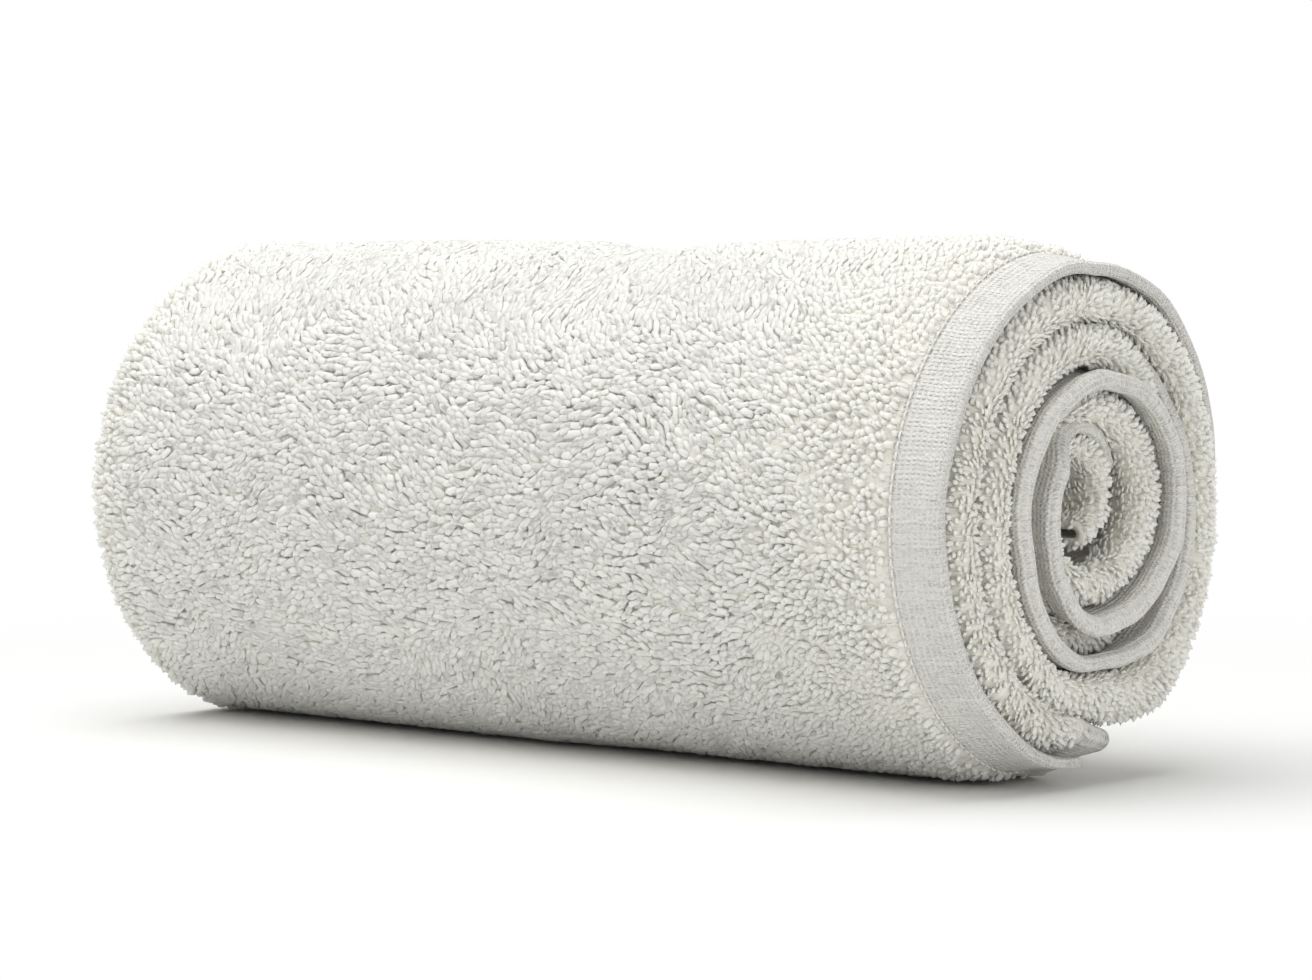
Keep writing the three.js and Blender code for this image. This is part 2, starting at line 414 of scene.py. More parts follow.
def towelFaces():
    index = np.arange((steps + 1) * count).reshape(steps + 1, count)
    nextIndex = np.roll(index, -1, axis=1)
    quads = np.stack([index[:-1], index[1:], nextIndex[1:], nextIndex[:-1]], -1).reshape(-1, 4)
    faces = quads.tolist()
    half = (count - 2) // 2
    for ring, flip in ((index[0], False), (index[-1], True)):
        caps = [[ring[0], ring[1], ring[count - 1]], [ring[half], ring[half + 1], ring[count - half]]]
        caps += [[ring[i], ring[i + 1], ring[count - i - 1], ring[count - i]] for i in range(1, half)]
        faces += [[int(v) for v in (cap[::-1] if flip else cap)] for cap in caps]
    return faces


def addColumn(mesh, name, kind, values):
    attribute = mesh.attributes.new(name, kind, "POINT")
    field = "vector" if kind == "FLOAT_VECTOR" else "value"
    attribute.data.foreach_set(field, np.asarray(values, dtype=np.float32).ravel())


def makeTowel():
    mesh = bpy.data.meshes.new("towelCloth")
    mesh.from_pydata(rings.reshape(-1, 3).tolist(), [], towelFaces())
    mesh.update()
    towel = bpy.data.objects.new("towelCloth", mesh)
    bpy.context.scene.collection.objects.link(towel)
    turns = angles / 360
    middleRadius = roll["firstRadius"] - cloth["middleDepth"] - turnPitch * turns / 2
    alongCloth = 2 * math.pi * turns * middleRadius / 1000
    acrossCloth = np.broadcast_to(across / 1000, turns.shape)
    uv = mesh.uv_layers.new(name="clothUV")
    corners = np.zeros(len(mesh.loops), dtype=np.int32)
    mesh.loops.foreach_get("vertex_index", corners)
    flat = np.stack([alongCloth, acrossCloth], -1).reshape(-1, 2)[corners]
    uv.data.foreach_set("uv", flat.astype(np.float32).ravel())
    mesh.shade_smooth()
    return towel


pileCover = {
    "outerTurn": 372,           # the cloth's outside shows up to this winding angle
    "looseHem": 12,             # and its end hem up to this one
    "besideHem": 0.6,
    "crest": 17,                # pile goes this far back from the near fold's edge, further in
    "core": 50,                 # the core, and this far from the far end and inside the hem
    "farFold": 18,
    "insideMouth": 6,
    "uprightRun": 75,           # length over which the pile goes from upright to lying down
}


def unitRows(rows):
    # each row scaled to a length of one
    return rows / (np.linalg.norm(rows, axis=-1, keepdims=True) + 1e-9)


def markPile(mesh):
    # where pile shows, how long it is, which way it lies and how flat
    x = outlines[:, :, 0]
    part = np.broadcast_to(parts, x.shape)
    outside = np.broadcast_to(sides, x.shape) > 0
    inside = np.broadcast_to(sides, x.shape) < 0
    fromHem = mouthX + mouthAt("hem", angles) - cloth["hemWidth"] - x
    fromFold = mouthX + mouthAt("fold", angles) - x
    wrapped = wrapFrom(roll["looseEnd"] - angles, -270)
    isTerry = ((part > 0) & (fromHem > 0)) | (part >= 2)
    isLooseHem = angles < pileCover["looseHem"]
    inOuterTurn = angles < pileCover["outerTurn"]
    onOutside = (part == 1) & outside & inOuterTurn & (fromHem > pileCover["besideHem"])
    onCrest = (part == 4) & outside & (fromFold < pileCover["crest"])
    isInner = (part >= 3) & (part <= 4) & outside & (angles > roll["coreFrom"])
    inCore = isInner & (fromFold < pileCover["core"])
    onFarFold = ((part == 2) | (part == 1)) & outside & (x - farX < pileCover["farFold"])
    insideMouth = (part == 1) & inside & (fromHem > 0) & (fromHem < pileCover["insideMouth"])
    cover = (onOutside | onCrest | inCore | onFarFold | insideMouth) & isTerry & ~isLooseHem

    # short and upright beside the hem and on the folds, long and lying down further along, and
    # flatter on top and at the bottom
    lying = smooth(fromHem / pileCover["uprightRun"])
    turnSine = np.sin(np.radians(wrapped))
    patches = soft(x / 13, np.radians(wrapped) * 5.2, 21)
    topness = smooth((turnSine - 0.35) / 0.45)
    lowness = smooth((-turnSine - 0.35) / 0.5)
    length = np.where(onOutside, 0.62 + 0.38 * lying + 0.1 * patches, 0.75)
    rise = np.where(onOutside, 1 - 0.5 * topness - 0.35 * lowness, 1)
    lean = np.where(onOutside, 0.5 + 0.4 * lying + 0.08 * patches, 0.42)

    # along the roll, turned in slow swirls, and more round it on top
    swirl = 0.55 * soft(x / 17, np.radians(wrapped) * 4.1, 11)
    swirl = swirl + 0.5 * soft(x / 7, np.radians(wrapped) * 9, 4)
    swirl = swirl + 1.2 * topness - 0.7 * lowness
    crestSwirl = 0.7 * soft(np.radians(angles) * 7, x / 6, 5)
    swirl = np.where(onCrest | inCore, crestSwirl, swirl)[..., None]
    alongRoll = unitRows(np.gradient(rings, axis=1))
    roundRoll = unitRows(np.gradient(rings, axis=0))
    flow = alongRoll * np.cos(swirl) + roundRoll * np.sin(swirl)

    addColumn(mesh, "pileCover", "FLOAT", cover.astype(float))
    addColumn(mesh, "pileLength", "FLOAT", length)
    addColumn(mesh, "pileRise", "FLOAT", rise)
    addColumn(mesh, "pileLean", "FLOAT", lean)
    addColumn(mesh, "pileFlow", "FLOAT_VECTOR", flow)
    addColumn(mesh, "hemMask", "FLOAT", (~isTerry | isLooseHem).astype(float))


towel = makeTowel()
mesh = towel.data
markPile(mesh)
print("towel: cloth has", len(mesh.polygons), "faces")


print("towel: materials")


def newMaterial(name):
    material = bpy.data.materials.new(name)
    material.use_nodes = True
    tree = material.node_tree
    tree.nodes.clear()
    return material, tree


def addNode(tree, kind, inputs=None, settings=None, **values):
    # settings are the node's own fields. Inputs and values are its sockets, by name or number,
    # and each takes a plain value or another node's output.
    node = tree.nodes.new(kind)
    for field, value in (settings or {}).items():
        setattr(node, field, value)
    named = {name.replace("_", " "): value for name, value in values.items()}
    for name, value in {**named, **(inputs or {})}.items():
        if isinstance(value, bpy.types.NodeSocket):
            tree.links.new(value, node.inputs[name])
        else:
            node.inputs[name].default_value = value
    return node


pileLook = {
    "light": "#FAF9F1",
    "shade": "#EDEBE1",
    "yarnPitch": 0.45,          # twist of the loop yarn, drawn as coarse as it needs to show
    "leastTone": 0.25,          # share of the light colour that every tuft has
}


def makePileMaterial():
    # bleached cotton loops: matt, slightly see-through, with a soft fibre sheen at the edges
    material, tree = newMaterial("bleachedCottonLoops")
    tone = addNode(tree, "ShaderNodeAttribute", settings={"attribute_name": "tone"})
    place = addNode(tree, "ShaderNodeTexCoord")
    # clouds some 36 mm wide, over the difference from tuft to tuft
    clouds = addNode(tree, "ShaderNodeTexNoise", {"Vector": place.outputs["Object"]},
                     Scale=28, Detail=2)
    share = addNode(tree, "ShaderNodeMath", {
        0: tone.outputs["Fac"],
        1: clouds.outputs["Fac"],
        2: pileLook["leastTone"],
    }, {"operation": "MULTIPLY_ADD"})
    colour = addNode(tree, "ShaderNodeMix", {
        "Factor": share.outputs[0],
        "A": hexColour(pileLook["shade"]),
        "B": hexColour(pileLook["light"]),
    }, {"data_type": "RGBA"})
    fibres = addNode(tree, "ShaderNodeTexNoise", {"Vector": place.outputs["Object"]},
                     Scale=1000 / pileLook["yarnPitch"] / 2, Detail=2)
    bump = addNode(tree, "ShaderNodeBump", {"Height": fibres.outputs["Fac"]},
                   Strength=0.35, Distance=0.0003)
    skin = addNode(tree, "ShaderNodeBsdfPrincipled", {
        "Base Color": colour.outputs["Result"],
        "Normal": bump.outputs["Normal"],
        "Roughness": 0.92,
        "IOR": 1.45,
        "Subsurface Weight": 0.5,
        "Subsurface Radius": (1.0, 0.98, 0.93),
        "Subsurface Scale": 0.0016,
        "Sheen Weight": 0.2,
        "Sheen Roughness": 0.6,
        "Specular IOR Level": 0.2,
    })
    addNode(tree, "ShaderNodeOutputMaterial", {"Surface": skin.outputs["BSDF"]})
    return material


hemLook = {
    "thread": "#EFEEE8",
    # the between colour is painted shade, for the gaps between the threads and the hollows of the
    # puckers
    "between": "#D6D3CB",
    "threadPitch": 1.7,         # real threads are finer: drawn as coarse as they need to show
    "ribPitch": 1.3,
    "puckerPitch": 2.6,
    "wander": 1.6,              # how far the threads stray from straight
}


def makeHemMaterial():
    # plain-woven cotton hem: flat threads with fine cross ribs, with painted shade between the threads
    # and in the hollows of the puckers
    material, tree = newMaterial("plainWovenCotton")
    uv = addNode(tree, "ShaderNodeUVMap", settings={"uv_map": "clothUV"})
    # the threads stray every 4.5 mm or so
    wobble = addNode(tree, "ShaderNodeTexNoise", {"Vector": uv.outputs["UV"]}, Scale=220, Detail=2)
    stray = addNode(tree, "ShaderNodeVectorMath",
                    {0: wobble.outputs["Color"], "Scale": hemLook["wander"] / 1000},
                    {"operation": "SCALE"})
    moved = addNode(tree, "ShaderNodeVectorMath", {0: uv.outputs["UV"], 1: stray.outputs[0]},
                    {"operation": "ADD"})
    # a wave texture's scale for bands of one millimetre is 314.16 over metres
    across = addNode(tree, "ShaderNodeTexWave", {"Vector": moved.outputs[0]},
                     {"bands_direction": "X"}, Scale=314.16 / hemLook["ribPitch"])
    along = addNode(tree, "ShaderNodeTexWave", {"Vector": moved.outputs[0]},
                    {"bands_direction": "Y"}, Scale=314.16 / hemLook["threadPitch"])
    weave = addNode(tree, "ShaderNodeMath", {0: across.outputs["Fac"], 1: along.outputs["Fac"]},
                    {"operation": "MULTIPLY"})
    # puckers run across the hem, where it was gathered by its seam
    drawn = addNode(tree, "ShaderNodeMapping", {"Vector": uv.outputs["UV"]}, Scale=(1, 0.16, 1))
    puckers = addNode(tree, "ShaderNodeTexNoise", {"Vector": drawn.outputs["Vector"]},
                      Scale=1000 / hemLook["puckerPitch"], Detail=3, Roughness=0.6)
    # slubs are a little over a millimetre long
    slubs = addNode(tree, "ShaderNodeTexNoise", {"Vector": uv.outputs["UV"]}, Scale=900, Detail=3)
    fine = addNode(tree, "ShaderNodeMath", {0: weave.outputs[0], 1: slubs.outputs["Fac"]},
                   {"operation": "ADD"})
    fineBump = addNode(tree, "ShaderNodeBump", {"Height": fine.outputs[0]},
                       Strength=0.8, Distance=0.0008)
    bump = addNode(tree, "ShaderNodeBump",
                   {"Height": puckers.outputs["Fac"], "Normal": fineBump.outputs["Normal"]},
                   Strength=0.6, Distance=0.0011)
    # the colour follows the same weave and puckers as the bump: painted shade, darker in the gaps and
    # hollows
    height = addNode(tree, "ShaderNodeMath", {0: weave.outputs[0], 1: puckers.outputs["Fac"]},
                     {"operation": "ADD"})
    colour = addNode(tree, "ShaderNodeMix", {
        "Factor": height.outputs[0],
        "A": hexColour(hemLook["between"]),
        "B": hexColour(hemLook["thread"]),
    }, {"data_type": "RGBA"})
    skin = addNode(tree, "ShaderNodeBsdfPrincipled", {
        "Base Color": colour.outputs["Result"],
        "Normal": bump.outputs["Normal"],
        "Roughness": 0.9,
        "IOR": 1.45,
        "Sheen Weight": 0.15,
        "Specular IOR Level": 0.2,
    })
    addNode(tree, "ShaderNodeOutputMaterial", {"Surface": skin.outputs["BSDF"]})
    return material


groundLook = {
    "deep": "#E4E0D5",
    "light": "#F8F6EE",
    "loopPitch": 2.2,
}


def makeGroundMaterial():
    # the ground between the tufts: the bottoms of the loops, in warm shade
    material, tree = newMaterial("wovenCottonGround")
    uv = addNode(tree, "ShaderNodeUVMap", settings={"uv_map": "clothUV"})
    spread = addNode(tree, "ShaderNodeMapping", {"Vector": uv.outputs["UV"]}, Scale=(1, 0.4, 1))
    grain = addNode(tree, "ShaderNodeTexNoise", {"Vector": spread.outputs["Vector"]},
                    Scale=1000 / groundLook["loopPitch"], Detail=2, Distortion=0.6)
    bump = addNode(tree, "ShaderNodeBump", {"Height": grain.outputs["Fac"]},
                   Strength=1.0, Distance=0.002)
    colour = addNode(tree, "ShaderNodeMix", {
        "Factor": grain.outputs["Fac"],
        "A": hexColour(groundLook["deep"]),
        "B": hexColour(groundLook["light"]),
    }, {"data_type": "RGBA"})
    skin = addNode(tree, "ShaderNodeBsdfPrincipled", {
        "Base Color": colour.outputs["Result"],
        "Normal": bump.outputs["Normal"],
        "Roughness": 0.95,
        "IOR": 1.45,
    })
    addNode(tree, "ShaderNodeOutputMaterial", {"Surface": skin.outputs["BSDF"]})
    return material


def finishHem(mesh):
    # faces whose corners are all on a hem get the second material, the woven one
    mask = np.zeros(len(mesh.vertices), dtype=np.float32)
    mesh.attributes["hemMask"].data.foreach_get("value", mask)
    for polygon in mesh.polygons:
        polygon.material_index = int(min(mask[v] for v in polygon.vertices) > 0.5)
    mesh.attributes.remove(mesh.attributes["hemMask"])


pileMaterial = makePileMaterial()
hemMaterial = makeHemMaterial()
mesh.materials.append(makeGroundMaterial())
mesh.materials.append(hemMaterial)
finishHem(mesh)


print("towel: pile")

pile = {
    "tuftLength": 6.2,
    "tuftWidth": 2.8,
    "tuftHeight": 1.3,
    "perSquareMetre": 520000,
    "sway": 0.28,
    "clumpPitch": 11,
    "clumpHeight": 2.0,
    "waviness": 2.7,            # radians, for noise that keeps to its middle third
    "noiseMiddle": 0.44,        # what the clumps' noise is on average
    "sunk": 0.1,                # how deep the loops stand in each other
    "lengths": (0.68, 1.3),     # least and most, as shares of a tuft's size
    "widths": (0.85, 1.2),
    "seed": 7,
    # along the roll from the far end: where each piece ends, the least distance between
    # two tufts and the size of a tuft; the last two are beside the hem and on the folds
    "bands": ((-152, 1.55, 0.95), (-80, 1.5, 1.0), (-15, 1.5, 1.0), (48, 1.48, 0.97), (98, 1.42, 0.9),
              (146, 1.3, 0.82), (190, 1.2, 0.72)),
}


def makeTuft(name, seed):
    # one loop of yarn lying over: a plump bent grain, its ends down in the ground, with two
    # cross-sections of four points between them
    rng = np.random.default_rng(seed)
    length, width, height = (pile[k] / 1000 for k in ("tuftLength", "tuftWidth", "tuftHeight"))
    bend = rng.uniform(-0.4, 0.4, 2) * width
    along = np.array([-0.22, 0.26]) * length
    rise = np.array([rng.uniform(0.8, 0.95), rng.uniform(0.8, 1.05)]) * height
    vertices = [(-0.48 * length, 0, -0.1 * height)]
    for i in range(2):
        half = (0.5, 0.46)[i] * width
        for side, up in ((-1, 0.25), (-0.55, 0.95), (0.55, 1.0), (1, 0.25)):
            vertices.append((along[i], bend[i] + side * half, rise[i] * up - 0.15 * height))
    vertices.append((0.55 * length, bend[1] * 0.4, 0.35 * height))
    faces = []
    for j in range(4):
        k = (j + 1) % 4
        faces.append((0, 1 + k, 1 + j))
        faces.append((1 + j, 1 + k, 5 + k, 5 + j))
        faces.append((9, 5 + j, 5 + k))
    mesh = bpy.data.meshes.new(name)
    mesh.from_pydata(vertices, [], faces)
    mesh.shade_smooth()
    return bpy.data.objects.new(name, mesh)


tuftKinds = 6
tuftShapes = bpy.data.collections.new("tuftShapes")
for kind in range(tuftKinds):
    tuftShapes.objects.link(makeTuft(f"tuftShape{kind}", 40 + kind))


def pileTree():
    # tufts on the cloth's shown faces, laid along its flow, between two places along the roll
    tree = bpy.data.node_groups.new("pileOfLoops", "GeometryNodeTree")
    face = tree.interface
    face.new_socket("Geometry", in_out="INPUT", socket_type="NodeSocketGeometry")
    for name, value in (("gap", 0.0015), ("perSquareMetre", 300000.0), ("fromX", -1.0), ("toX", 1.0),
                        ("sway", 0.5), ("size", 1.0), ("clumpScale", 100.0), ("clumpHeight", 0.001),
                        ("waviness", 3.0), ("sunk", 0.0)):
        socket = face.new_socket(name, in_out="INPUT", socket_type="NodeSocketFloat")
        socket.default_value = value
    face.new_socket("seed", in_out="INPUT", socket_type="NodeSocketInt")
    face.new_socket("shapes", in_out="INPUT", socket_type="NodeSocketCollection")
    face.new_socket("finish", in_out="INPUT", socket_type="NodeSocketMaterial")
    face.new_socket("Geometry", in_out="OUTPUT", socket_type="NodeSocketGeometry")
    source = addNode(tree, "NodeGroupInput")

    # numbers that the tree works with, by name: its own inputs, the cloth's columns, random ones
    # and noise, and what the table of sums makes of them
    field = {socket.name: socket for socket in source.outputs}
    for name, kind in (("pileCover", "FLOAT"), ("pileLength", "FLOAT"), ("pileRise", "FLOAT"),
                       ("pileLean", "FLOAT"), ("pileFlow", "FLOAT_VECTOR")):
        node = addNode(tree, "GeometryNodeInputNamedAttribute", {"Name": name}, {"data_type": kind})
        field[name] = node.outputs["Attribute"]
    for name, limits, seed in (("chance", (-1, 1), 3), ("lengthShare", pile["lengths"], 5),
                               ("tone", (0, 1), 11), ("widthShare", pile["widths"], 13)):
        node = addNode(tree, "FunctionNodeRandomValue", {2: limits[0], 3: limits[1], "Seed": seed},
                       {"data_type": "FLOAT"})
        field[name] = node.outputs[1]
    here = addNode(tree, "GeometryNodeInputPosition")
    split = addNode(tree, "ShaderNodeSeparateXYZ", {"Vector": here.outputs["Position"]})
    field["x"] = split.outputs["X"]
    # neighbours turn together, in waves as wide as a clump, and lie higher and lower together
    wave = addNode(tree, "ShaderNodeTexNoise", {"Scale": field["clumpScale"]}, Detail=1)
    swell = addNode(tree, "ShaderNodeTexNoise", {"Scale": field["clumpScale"]},
                    {"noise_dimensions": "4D"}, W=5, Detail=1)
    field["wave"], field["swell"] = wave.outputs["Fac"], swell.outputs["Fac"]
    sums = (
        ("before", "LESS_THAN", "x", "fromX"),
        ("past", "GREATER_THAN", "x", "toX"),
        ("elsewhere", "MAXIMUM", "before", "past"),
        ("upright", "SUBTRACT", 1.0, "pileLean"),
        ("aside", "SUBTRACT", "wave", 0.5),
        ("together", "MULTIPLY", "aside", "waviness"),
        ("alone", "MULTIPLY", "chance", "sway"),
        ("turn", "ADD", "together", "alone"),
        ("above", "SUBTRACT", "swell", pile["noiseMiddle"]),
        ("clump", "MULTIPLY", "above", "clumpHeight"),
        ("stood", "SUBTRACT", "clump", "sunk"),
        ("raised", "MULTIPLY", "stood", "pileRise"),
        ("lengthened", "MULTIPLY", "pileLength", "lengthShare"),
        ("long", "MULTIPLY", "lengthened", "size"),
        ("wide", "MULTIPLY", "size", "widthShare"),
        ("high", "MULTIPLY", "wide", "pileRise"),
    )
    for name, operation, first, second in sums:
        numbers = {0: field.get(first, first), 1: field.get(second, second)}
        field[name] = addNode(tree, "ShaderNodeMath", numbers, {"operation": operation}).outputs[0]

    spread = addNode(tree, "GeometryNodeDistributePointsOnFaces", {
        "Mesh": field["Geometry"],
        "Distance Min": field["gap"],
        "Density Max": field["perSquareMetre"],
        "Density Factor": field["pileCover"],
        "Seed": field["seed"],
    }, {"distribute_method": "POISSON"})
    kept = addNode(tree, "GeometryNodeDeleteGeometry", {
        "Geometry": spread.outputs["Points"],
        "Selection": field["elsewhere"],
    }, {"domain": "POINT"})
    lifted = addNode(tree, "ShaderNodeVectorMath",
                     {0: spread.outputs["Normal"], "Scale": field["raised"]},
                     {"operation": "SCALE"})
    clumped = addNode(tree, "GeometryNodeSetPosition",
                      {"Geometry": kept.outputs["Geometry"], "Offset": lifted.outputs[0]})

    # a tuft's own X leans from the face's normal towards the flow, and turns about the normal
    aheadShare = addNode(tree, "ShaderNodeVectorMath",
                         {0: field["pileFlow"], "Scale": field["pileLean"]},
                         {"operation": "SCALE"})
    upShare = addNode(tree, "ShaderNodeVectorMath",
                      {0: spread.outputs["Normal"], "Scale": field["upright"]},
                      {"operation": "SCALE"})
    leaning = addNode(tree, "ShaderNodeVectorMath", {0: aheadShare.outputs[0], 1: upShare.outputs[0]},
                      {"operation": "ADD"})
    turned = addNode(tree, "ShaderNodeVectorRotate", {
        "Vector": leaning.outputs[0],
        "Axis": spread.outputs["Normal"],
        "Angle": field["turn"],
    })
    facing = addNode(tree, "FunctionNodeAxesToRotation", {
        "Primary Axis": turned.outputs[0],
        "Secondary Axis": spread.outputs["Normal"],
    }, {"primary_axis": "X", "secondary_axis": "Z"})

    shapes = addNode(tree, "GeometryNodeCollectionInfo", {
        "Collection": field["shapes"],
        "Separate Children": True,
        "Reset Children": True,
    })
    pick = addNode(tree, "FunctionNodeRandomValue", {4: 0, 5: tuftKinds - 1, "Seed": 9},
                   {"data_type": "INT"})
    scale = addNode(tree, "ShaderNodeCombineXYZ",
                    {"X": field["long"], "Y": field["wide"], "Z": field["high"]})
    placed = addNode(tree, "GeometryNodeInstanceOnPoints", {
        "Points": clumped.outputs["Geometry"],
        "Instance": shapes.outputs["Instances"],
        "Pick Instance": True,
        "Instance Index": pick.outputs[2],
        "Rotation": facing.outputs["Rotation"],
        "Scale": scale.outputs["Vector"],
    })
    toned = addNode(tree, "GeometryNodeStoreNamedAttribute", {
        "Geometry": placed.outputs["Instances"],
        "Name": "tone",
        "Value": field["tone"],
    }, {"data_type": "FLOAT", "domain": "INSTANCE"})
    real = addNode(tree, "GeometryNodeRealizeInstances", {"Geometry": toned.outputs["Geometry"]})
    finish = addNode(tree, "GeometryNodeSetMaterial",
                     {"Geometry": real.outputs["Geometry"], "Material": field["finish"]})
    addNode(tree, "NodeGroupOutput", {"Geometry": finish.outputs["Geometry"]})
    return tree


def setInputs(modifier, values):
    # a modifier's input is known by its socket's identifier
    for item in modifier.node_group.interface.items_tree:
        if item.item_type == "SOCKET" and item.in_out == "INPUT" and item.name in values:
            modifier[item.identifier] = values[item.name]


pressedFrom = 0.0015            # metres above the floor


def bakeNodes(name, base, tree, values):
    # runs the tree on a copy of the base and keeps the result as a plain mesh
    work = base.copy()
    bpy.context.scene.collection.objects.link(work)
    modifier = work.modifiers.new("nodes", "NODES")
    modifier.node_group = tree
    setInputs(modifier, values)
    depsgraph = bpy.context.evaluated_depsgraph_get()
    result = bpy.data.meshes.new_from_object(work.evaluated_get(depsgraph), depsgraph=depsgraph)
    result.name = name
    bpy.data.objects.remove(work)
    # pressed flat where the roll rests
    points = np.zeros(len(result.vertices) * 3, dtype=np.float32)
    result.vertices.foreach_get("co", points)
    heights = points[2::3]
    pressed = pressedFrom * np.exp(heights / pressedFrom - 1)
    points[2::3] = np.where(heights < pressedFrom, pressed, heights)
    result.vertices.foreach_set("co", points)
    result.update()
    piece = bpy.data.objects.new(name, result)
    bpy.context.scene.collection.objects.link(piece)
    return piece


tree = pileTree()
fromX = float(rings[:, :, 0].min()) - 0.001
pilePieces = []
for band, (toX, gap, size) in enumerate(pile["bands"]):
    values = {
        "gap": gap / 1000,
        "perSquareMetre": float(pile["perSquareMetre"]),
        "fromX": fromX,
        "toX": toX / 1000,
        "sway": pile["sway"],
        "clumpScale": 1000 / pile["clumpPitch"],
        "clumpHeight": pile["clumpHeight"] / 1000,
        "waviness": pile["waviness"],
        "sunk": pile["sunk"] * size / 1000,
        "size": float(size),
        "seed": pile["seed"] + band,
        "shapes": tuftShapes,
        "finish": pileMaterial,
    }
    piece = bakeNodes(f"pile{band + 1}", towel, tree, values)
    pilePieces.append(piece)
    fromX = toX / 1000
    triangles = sum(len(polygon.vertices) - 2 for polygon in piece.data.polygons)
    print("towel: pile", band + 1, "has", triangles, "triangles")
for shape in list(tuftShapes.objects):
    bpy.data.objects.remove(shape)
bpy.data.collections.remove(tuftShapes)


print("towel: seam of the hem")

seam = {
    "pitch": 2.9,
    "stitchLength": 2.3,
    "stitchWidth": 0.75,
    "fromTerry": 1.4,           # the seam runs this far inside the hem
    "proud": 0.25,
    "fromAngle": 8,
    "toAngle": 372,
    "stepAngle": 2.0,
}


def makeStitch():
    # one stitch of the seam: thread lying on the hem, drawn in at both ends
    length, width = seam["stitchLength"] / 1000, seam["stitchWidth"] / 1000
    rows = ((-0.5, 0.45, -0.45), (-0.3, 0.9, 0.05), (0, 1, 0.2), (0.3, 0.9, 0.05), (0.5, 0.45, -0.45))
    vertices, faces, around = [], [], 6
    for along, share, rise in rows:
        for side in range(around):
            turn = 2 * math.pi * side / around
            vertices.append((along * length, share * width / 2 * math.cos(turn),
                             rise * width + share * width / 2 * math.sin(turn)))
    for row in range(len(rows) - 1):
        for side in range(around):
            a, b = row * around + side, row * around + (side + 1) % around
            faces.append((a, b, b + around, a + around))
    faces.append(tuple(range(around))[::-1])
    faces.append(tuple((len(rows) - 1) * around + side for side in range(around)))
    mesh = bpy.data.meshes.new("stitchShape")
    mesh.from_pydata(vertices, [], [face[::-1] for face in faces])
    mesh.shade_smooth()
    return bpy.data.objects.new("stitchShape", mesh)


def seamLine():
    # the line on the hem's outside that the seam follows, with the way out at each point, found
    # from a second point higher up
    higher = 2
    base = np.arange(seam["fromAngle"], seam["toAngle"], seam["stepAngle"])
    depth = plyDepths[0] + cloth["hemSink"] - cloth["hemHalf"]
    points, outer = [], []
    for angle in base:
        seamX = mouthX + mouthAt("hem", angle) - cloth["hemWidth"] + seam["fromTerry"]
        place = np.array([seamX, seamX])
        depths = np.array([depth - seam["proud"], depth - higher])
        pair, _ = placeInRoll(place, depths, np.array([1, 1]), angle)
        points.append(pair[0])
        outer.append(pair[1] - pair[0])
    mesh = bpy.data.meshes.new("seamLine")
    placed = (np.array(points) + shift) / 1000
    mesh.from_pydata(placed.tolist(), [(i, i + 1) for i in range(len(base) - 1)], [])
    addColumn(mesh, "wayOut", "FLOAT_VECTOR", np.array(outer))
    return bpy.data.objects.new("seamLine", mesh)


def seamTree():
    # stitches at even steps along a line
    tree = bpy.data.node_groups.new("seamOfStitches", "GeometryNodeTree")
    face = tree.interface
    face.new_socket("Geometry", in_out="INPUT", socket_type="NodeSocketGeometry")
    face.new_socket("pitch", in_out="INPUT", socket_type="NodeSocketFloat").default_value = 0.003
    face.new_socket("stitch", in_out="INPUT", socket_type="NodeSocketObject")
    face.new_socket("finish", in_out="INPUT", socket_type="NodeSocketMaterial")
    face.new_socket("Geometry", in_out="OUTPUT", socket_type="NodeSocketGeometry")
    source = addNode(tree, "NodeGroupInput")
    curve = addNode(tree, "GeometryNodeMeshToCurve", {"Mesh": source.outputs["Geometry"]})
    even = addNode(tree, "GeometryNodeResampleCurve",
                   {"Curve": curve.outputs["Curve"], "Length": source.outputs["pitch"]},
                   {"mode": "LENGTH"})
    wayOut = addNode(tree, "GeometryNodeInputNamedAttribute",
                     settings={"data_type": "FLOAT_VECTOR"}, Name="wayOut")
    along = addNode(tree, "GeometryNodeInputTangent")
    facing = addNode(tree, "FunctionNodeAxesToRotation", {
        "Primary Axis": along.outputs["Tangent"],
        "Secondary Axis": wayOut.outputs["Attribute"],
    }, {"primary_axis": "X", "secondary_axis": "Z"})
    stitch = addNode(tree, "GeometryNodeObjectInfo", {"Object": source.outputs["stitch"]})
    placed = addNode(tree, "GeometryNodeInstanceOnPoints", {
        "Points": even.outputs["Curve"],
        "Instance": stitch.outputs["Geometry"],
        "Rotation": facing.outputs["Rotation"],
    })
    real = addNode(tree, "GeometryNodeRealizeInstances", {"Geometry": placed.outputs["Instances"]})
    finish = addNode(tree, "GeometryNodeSetMaterial",
                     {"Geometry": real.outputs["Geometry"], "Material": source.outputs["finish"]})
    addNode(tree, "NodeGroupOutput", {"Geometry": finish.outputs["Geometry"]})
    return tree


stitchShape = makeStitch()
line = seamLine()
hemSeam = bakeNodes("hemSeam", line, seamTree(), {
    "pitch": seam["pitch"] / 1000,
    "stitch": stitchShape,
    "finish": hemMaterial,
})
for spare in (stitchShape, line):
    bpy.data.objects.remove(spare)
print("towel: seam has", len(hemSeam.data.polygons), "faces")
pilePieces.append(hemSeam)


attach(towel, "root")
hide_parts("towel_roll")
for piece in pilePieces:
    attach(piece, "root")


print("studio: floor, lights and camera")

studio = {
    "floor": "#EEEEED",
    "floorSize": 1000,          # radius
    "world": 0.28,
    "backdrop": 1.0,            # what the camera sees behind the towel
    "glowFrom": 0.17,           # metres from the middle: further out the sweep glows, painted light that stands in for a sweep lit from behind
    "glowTo": 0.6,
}


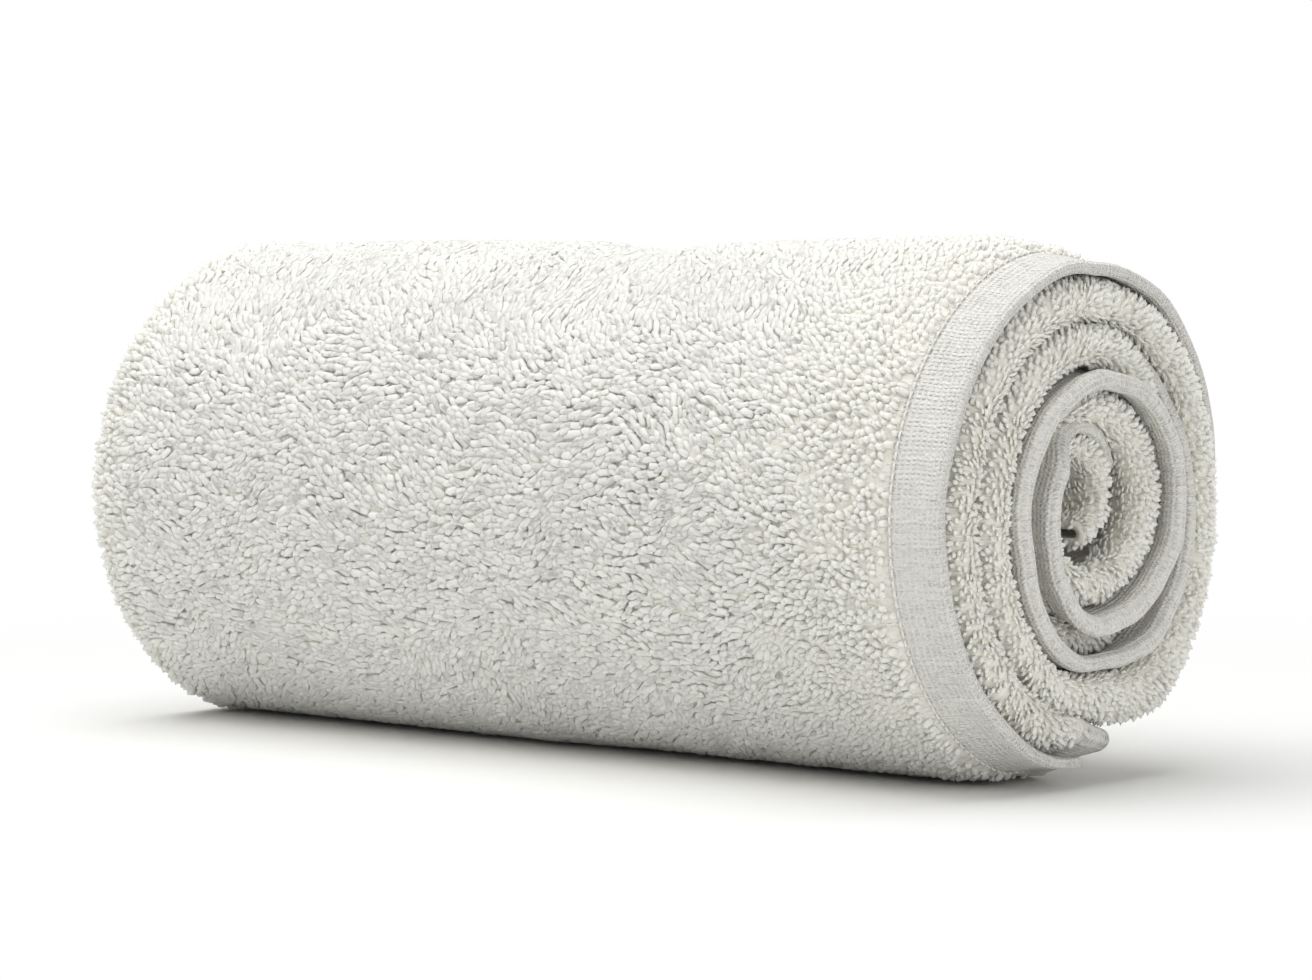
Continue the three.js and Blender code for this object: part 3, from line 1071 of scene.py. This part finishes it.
def makeFloor():
    corners = 96
    size = studio["floorSize"] / 1000
    turns = [2 * math.pi * i / corners for i in range(corners)]
    rim = [(size * math.cos(turn), size * math.sin(turn), 0) for turn in turns]
    mesh = bpy.data.meshes.new("studioFloor")
    mesh.from_pydata(rim, [], [list(range(corners))])
    floor = bpy.data.objects.new("studioFloor", mesh)
    bpy.context.scene.collection.objects.link(floor)
    material, tree = newMaterial("whitePaperSweep")
    skin = addNode(tree, "ShaderNodeBsdfPrincipled",
                   Base_Color=hexColour(studio["floor"]), Roughness=1.0)
    place = addNode(tree, "ShaderNodeTexCoord")
    away = addNode(tree, "ShaderNodeVectorMath", {0: place.outputs["Object"]}, {"operation": "LENGTH"})
    share = addNode(tree, "ShaderNodeMapRange", {"Value": away.outputs["Value"]},
                    {"interpolation_type": "SMOOTHSTEP"},
                    From_Min=studio["glowFrom"], From_Max=studio["glowTo"])
    # painted light: further out the floor glows white, so that it runs into the white backdrop
    glow = addNode(tree, "ShaderNodeEmission", Color=(1, 1, 1, 1), Strength=studio["backdrop"])
    both = addNode(tree, "ShaderNodeMixShader", {
        "Fac": share.outputs["Result"],
        1: skin.outputs["BSDF"],
        2: glow.outputs["Emission"],
    })
    addNode(tree, "ShaderNodeOutputMaterial", {"Surface": both.outputs["Shader"]})
    mesh.materials.append(material)


def addLight(name, place, aim, size, power):
    data = bpy.data.lights.new(name, "AREA")
    data.shape = "DISK"
    data.size = size
    data.energy = power
    light = bpy.data.objects.new(name, data)
    light.location = place
    light.rotation_euler = (Vector(aim) - Vector(place)).to_track_quat("-Z", "Y").to_euler()
    bpy.context.scene.collection.objects.link(light)


def makeWorld():
    world = bpy.data.worlds.new("whiteStudio")
    world.use_nodes = True
    tree = world.node_tree
    tree.nodes.clear()
    light = addNode(tree, "ShaderNodeBackground", Color=(1, 1, 1, 1), Strength=studio["world"])
    seen = addNode(tree, "ShaderNodeBackground", Color=(1, 1, 1, 1), Strength=studio["backdrop"])
    path = addNode(tree, "ShaderNodeLightPath")
    both = addNode(tree, "ShaderNodeMixShader", {
        "Fac": path.outputs["Is Camera Ray"],
        1: light.outputs["Background"],
        2: seen.outputs["Background"],
    })
    addNode(tree, "ShaderNodeOutputWorld", {"Surface": both.outputs["Shader"]})
    bpy.context.scene.world = world


# Name, place and aim in metres, size in metres, watts
towelMiddle = (0, 0, 0.07)
softboxes = (
    ("overheadSoftbox", (-0.2, -0.1, 1.4), towelMiddle, 1.9, 19.5),
    ("frontSoftbox", (-0.5, -1.05, 1.2), towelMiddle, 1.3, 7),
    ("backSoftbox", (0.3, 1.3, 0.9), towelMiddle, 1.3, 4),
    ("endFill", (1.3, -0.35, 0.45), (0.16, 0, 0.07), 0.9, 4.6),
)

makeFloor()
makeWorld()
for softbox in softboxes:
    addLight(*softbox)

cameraView = {
    "place": (807.9, -947.2, 147.2),    # from the roll's origin, worked out from its outline
    "yaw": 40.27,
    "down": 3.2,
    "lens": 112.5,
}


def makeCamera():
    data = bpy.data.cameras.new("camera")
    data.lens = cameraView["lens"]
    data.sensor_width = 36
    data.clip_start, data.clip_end = 0.05, 50
    camera = bpy.data.objects.new("camera", data)
    camera.location = Vector(cameraView["place"]) / 1000
    yaw, down = math.radians(cameraView["yaw"]), math.radians(cameraView["down"])
    ahead = Vector((-math.sin(yaw) * math.cos(down), math.cos(yaw) * math.cos(down), -math.sin(down)))
    camera.rotation_euler = ahead.to_track_quat("-Z", "Y").to_euler()
    bpy.context.scene.collection.objects.link(camera)
    bpy.context.scene.camera = camera


makeCamera()
bpy.context.scene.view_settings.view_transform = "Standard"

print("towel: done")
